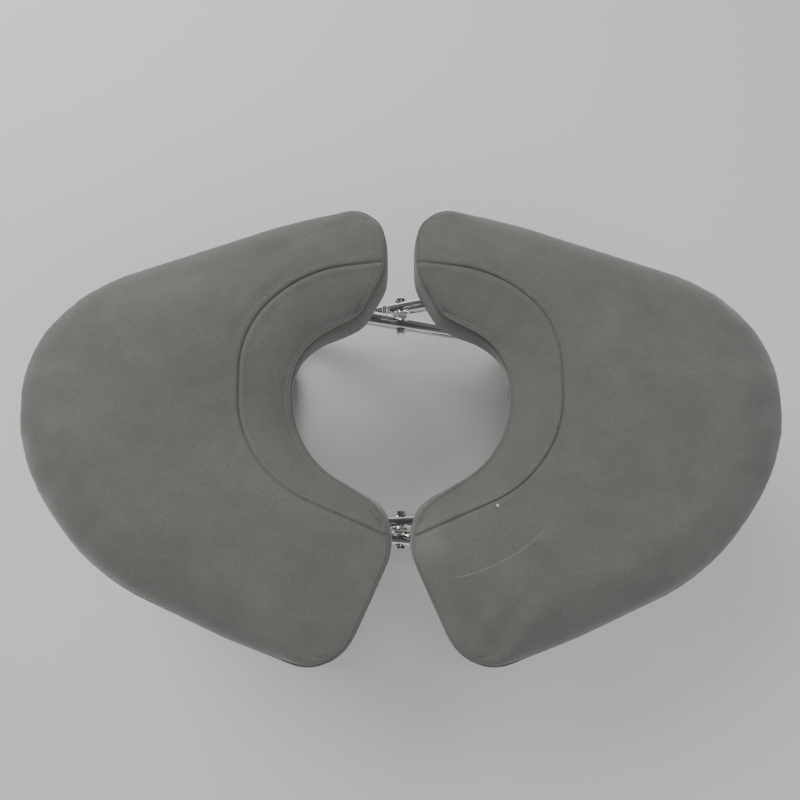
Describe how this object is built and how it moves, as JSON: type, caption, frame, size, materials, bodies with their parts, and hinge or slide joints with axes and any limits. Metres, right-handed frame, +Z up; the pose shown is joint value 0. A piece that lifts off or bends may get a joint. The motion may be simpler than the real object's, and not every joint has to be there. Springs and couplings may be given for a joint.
{
  "type": "face cradle cushion",
  "caption": "Two padded wings around a face opening, hinged on crossed folding chrome legs, that support the face of a person lying down.",
  "frame": {"origin": "on the floor, under the middle of the two cushions' outline", "axes": "+Z up, +X to the right along the longest side, +Y to the rear, where the prongs are blunt"},
  "size_m": [0.58, 0.3377, 0.1999],
  "materials": {
    "cover": "warm grey microfibre suede with a fine nap",
    "piping": "grey microfibre suede rolled over a cord",
    "foam": "open-cell polyurethane foam, hidden",
    "plywood": "bare birch plywood, hidden",
    "dust_cloth": "black spun-bonded lining",
    "plated_steel": "zinc-plated steel",
    "insert_metal": "plain brass",
    "chrome_tube": "bright chrome plate",
    "chrome_fittings": "bright chrome plate",
    "black_plastic": "moulded black plastic",
    "black_rubber": "moulded black rubber",
    "nylon": "natural nylon"
  },
  "bodies": {
    "left_wing": {"left_base_board": "plywood", "left_foam_core": "foam", "left_top_panel": "cover", "left_inner_band": "cover", "left_side_panel": "cover", "left_welt": "piping", "left_dust_cover": "dust_cloth", "left_staples": "plated_steel", "left_rear_bracket": "plated_steel", "left_front_bracket": "plated_steel", "left_hinge_pins": "plated_steel", "left_bracket_screws": "plated_steel", "left_board_inserts": "insert_metal"},
    "inner_leg": {"inner_leg_tube": "chrome_tube", "inner_leg_plugs": "black_plastic", "inner_leg_feet": "black_rubber", "pivot_bolts": "chrome_fittings", "pivot_washers": "nylon", "pivot_cap_nuts": "chrome_fittings", "stop_pins": "chrome_fittings"},
    "outer_leg": {"outer_leg_tube": "chrome_tube", "outer_leg_plugs": "black_plastic", "outer_leg_feet": "black_rubber"},
    "right_wing": {"right_base_board": "plywood", "right_foam_core": "foam", "right_top_panel": "cover", "right_inner_band": "cover", "right_side_panel": "cover", "right_welt": "piping", "right_dust_cover": "dust_cloth", "right_staples": "plated_steel", "right_rear_bracket": "plated_steel", "right_front_bracket": "plated_steel", "right_hinge_pins": "plated_steel", "right_bracket_screws": "plated_steel", "right_board_inserts": "insert_metal"}
  },
  "joints": [
    {"name": "left_wing_hinge", "type": "hinge", "parent": "left_wing", "child": "inner_leg", "pos_m": [-0.042, 0.0125, 0.12393], "axis": [0, 1, 0], "range_deg": [0, 133]},
    {"name": "leg_fold", "type": "hinge", "parent": "inner_leg", "child": "outer_leg", "pos_m": [0, 0.0125, 0.09452], "axis": [0, -1, 0], "range_deg": [0, 98]},
    {"name": "right_wing_hinge", "type": "hinge", "parent": "outer_leg", "child": "right_wing", "pos_m": [0.042, 0.0125, 0.12393], "axis": [0, 1, 0], "range_deg": [0, 133]}
  ],
  "couplings": [
    {"joint": "left_wing_hinge", "follows": "leg_fold", "ratio": 1.3571},
    {"joint": "right_wing_hinge", "follows": "leg_fold", "ratio": 1.3571}
  ]
}
